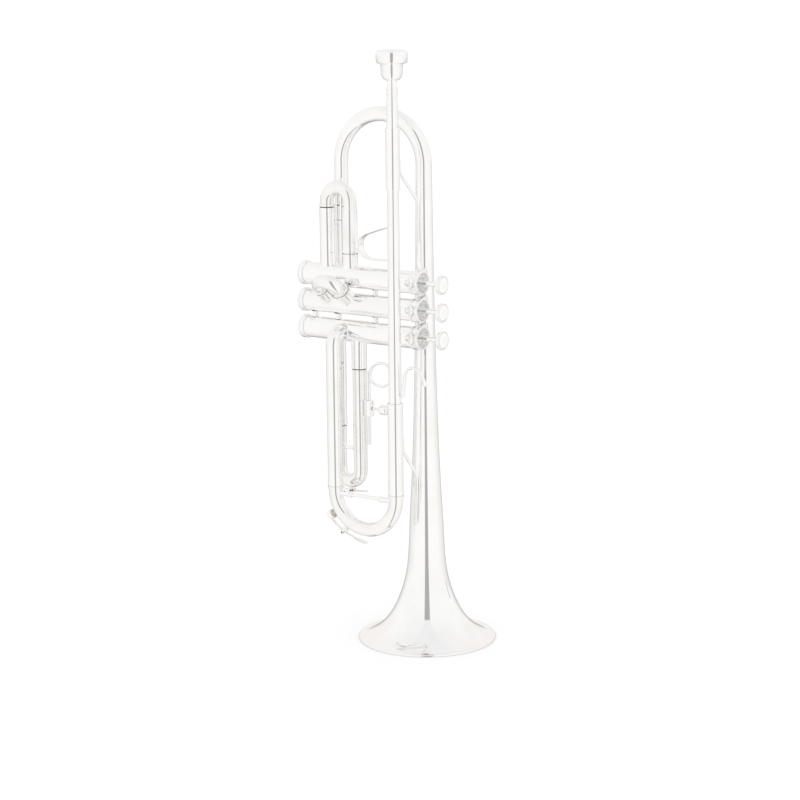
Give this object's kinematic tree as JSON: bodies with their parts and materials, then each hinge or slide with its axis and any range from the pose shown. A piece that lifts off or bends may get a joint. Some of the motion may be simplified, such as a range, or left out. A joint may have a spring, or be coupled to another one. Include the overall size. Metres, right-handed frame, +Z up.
{
  "type": "trumpet",
  "caption": "Silver-plated piston trumpet standing on its bell, with mouthpiece, valves, pull-out slides, thumb saddle, finger ring and water keys.",
  "frame": {"origin": "centre of the bell's rim, on the surface the rim rests on", "axes": "+Z up the bell towards the mouthpiece, +X from the bell towards the finger buttons, -Y towards the leadpipe side"},
  "size_m": [0.1791, 0.123, 0.5244],
  "materials": {
    "silver_plate": "polished",
    "silver_slide_tube": "polished",
    "monel": "satin",
    "spring_steel": "satin",
    "pearl": "gloss",
    "felt": "matte",
    "cork": "matte",
    "nylon": "matte"
  },
  "bodies": {
    "body": {"bell": "silver_plate", "bell_bow": "silver_plate", "bell_tail": "silver_plate", "bottom_cap_1": "silver_plate", "bottom_cap_2": "silver_plate", "bottom_cap_3": "silver_plate", "casing_link_12": "silver_plate", "casing_link_23_top": "silver_plate", "casing_link_23_middle": "silver_plate", "casing_link_23_bottom": "silver_plate", "finger_hook": "silver_plate", "first_slide_far_sleeve": "silver_plate", "first_slide_near_tube": "silver_plate", "leadpipe": "silver_plate", "lower_s_brace": "silver_plate", "lower_tuning_sleeve": "silver_plate", "mouthpiece_receiver": "silver_plate", "second_slide_far_sleeve": "silver_plate", "second_slide_near_sleeve": "silver_plate", "third_slide_far_sleeve": "silver_plate", "third_slide_near_sleeve": "silver_plate", "top_cap_1": "silver_plate", "top_cap_2": "silver_plate", "top_cap_3": "silver_plate", "upper_s_brace": "silver_plate", "upper_tuning_sleeve": "silver_plate", "valve_casing_1": "silver_plate", "valve_casing_2": "silver_plate", "valve_casing_3": "silver_plate", "valve_spring_1": "spring_steel", "valve_spring_2": "spring_steel", "valve_spring_3": "spring_steel", "valve_guide_1": "nylon", "valve_guide_2": "nylon", "valve_guide_3": "nylon"},
    "valve_1": {"piston_1": "monel", "finger_button_1": "silver_plate", "button_pearl_1": "pearl", "stem_felt_1": "felt"},
    "valve_2": {"piston_2": "monel", "finger_button_2": "silver_plate", "button_pearl_2": "pearl", "stem_felt_2": "felt"},
    "valve_3": {"piston_3": "monel", "finger_button_3": "silver_plate", "button_pearl_3": "pearl", "stem_felt_3": "felt"},
    "first_slide": {"first_slide_crook": "silver_slide_tube", "thumb_saddle": "silver_plate"},
    "second_slide": {"second_slide_crook": "silver_slide_tube"},
    "third_slide": {"third_slide_crook": "silver_slide_tube", "ring_block": "silver_plate"},
    "ring": {"finger_ring": "silver_plate"},
    "clamp_screw": {"ring_screw": "silver_plate"},
    "third_key": {"third_slide_water_key": "silver_plate"},
    "tuning_slide": {"tuning_slide_crook": "silver_slide_tube", "tuning_slide_brace": "silver_plate"},
    "main_key": {"water_key": "silver_plate", "water_key_cork": "cork"},
    "mouthpiece": {"mouthpiece": "silver_plate"}
  },
  "joints": [
    {"name": "valve_1_stroke", "type": "slide", "parent": "body", "child": "valve_1", "axis": [-1, 0, 0], "range_m": [0, 0.0156], "stiffness_N_per_m": 110, "springref_m": -0.012, "deforming": ["valve_spring_1"]},
    {"name": "valve_2_stroke", "type": "slide", "parent": "body", "child": "valve_2", "axis": [-1, 0, 0], "range_m": [0, 0.0156], "stiffness_N_per_m": 110, "springref_m": -0.012, "deforming": ["valve_spring_2"]},
    {"name": "valve_3_stroke", "type": "slide", "parent": "body", "child": "valve_3", "axis": [-1, 0, 0], "range_m": [0, 0.0156], "stiffness_N_per_m": 110, "springref_m": -0.012, "deforming": ["valve_spring_3"]},
    {"name": "first_slide_pull", "type": "slide", "parent": "body", "child": "first_slide", "axis": [0, 0, 1], "range_m": [0, 0.018]},
    {"name": "second_slide_pull", "type": "slide", "parent": "body", "child": "second_slide", "axis": [0, -0.766, 0.6428], "range_m": [0, 0.008]},
    {"name": "third_slide_throw", "type": "slide", "parent": "body", "child": "third_slide", "axis": [0, 0, -1], "range_m": [0, 0.018]},
    {"name": "tuning_slide_pull", "type": "slide", "parent": "body", "child": "tuning_slide", "axis": [0, 0, -1], "range_m": [0, 0.05]},
    {"name": "mouthpiece_pull", "type": "slide", "parent": "body", "child": "mouthpiece", "axis": [0, 0, 1], "range_m": [0, 0.03]},
    {"name": "ring_height", "type": "slide", "parent": "third_slide", "child": "ring", "axis": [0, 0, 1], "range_m": [-0.008, 0.01]},
    {"name": "clamp_screw_turn", "type": "hinge", "parent": "third_slide", "child": "clamp_screw", "pos_m": [-0.0453, -0.0198, 0.2082], "axis": [1, 0, 0], "range_deg": [-180, 180]},
    {"name": "third_key_press", "type": "hinge", "parent": "third_slide", "child": "third_key", "pos_m": [-0.06615, -0.0198, 0.13066], "axis": [0, -1, 0], "range_deg": [0, 12], "stiffness_Nm_per_rad": 0.03, "springref_deg": -20.05},
    {"name": "main_key_press", "type": "hinge", "parent": "tuning_slide", "child": "main_key", "pos_m": [-0.05986, -0.0419, 0.09853], "axis": [0, -1, 0], "range_deg": [0, 10], "stiffness_Nm_per_rad": 0.06, "springref_deg": -20.05}
  ]
}
